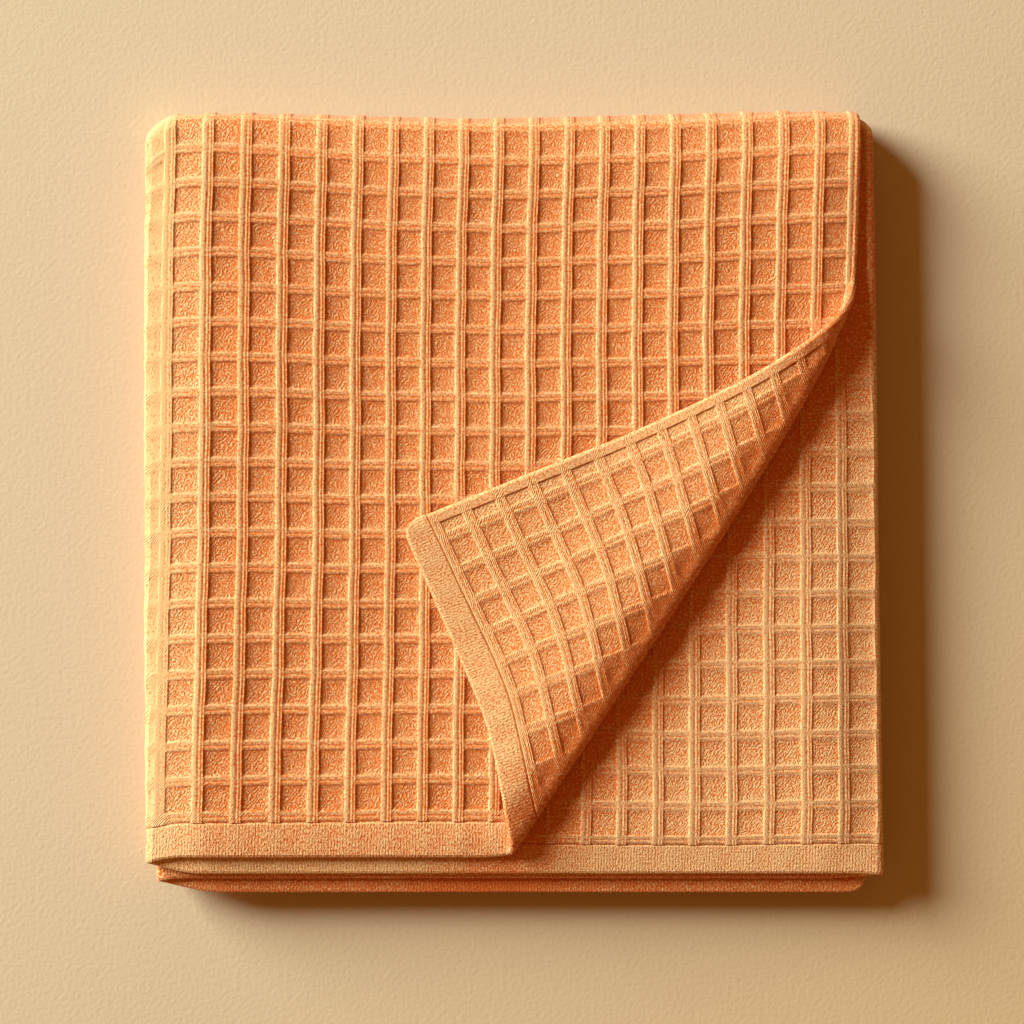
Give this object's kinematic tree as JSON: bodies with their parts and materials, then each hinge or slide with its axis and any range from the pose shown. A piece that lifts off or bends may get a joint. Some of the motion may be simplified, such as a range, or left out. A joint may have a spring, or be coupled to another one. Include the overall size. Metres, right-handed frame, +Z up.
{
  "type": "hair towel",
  "caption": "Honeycomb weave cotton hair towel, folded to a near square of layers, with one corner of its top layer turned back.",
  "frame": {"origin": "middle of the folded towel's footprint, on the surface that it lies on", "axes": "+Z up, +Y towards the rounded top fold, -Y towards the stepped hems, +X towards the free edge of the upper layer"},
  "size_m": [0.2548, 0.2704, 0.0284],
  "materials": {
    "cotton": "matte honeycomb weave"
  },
  "bodies": {
    "root": {"towel": "cotton"}
  },
  "joints": []
}
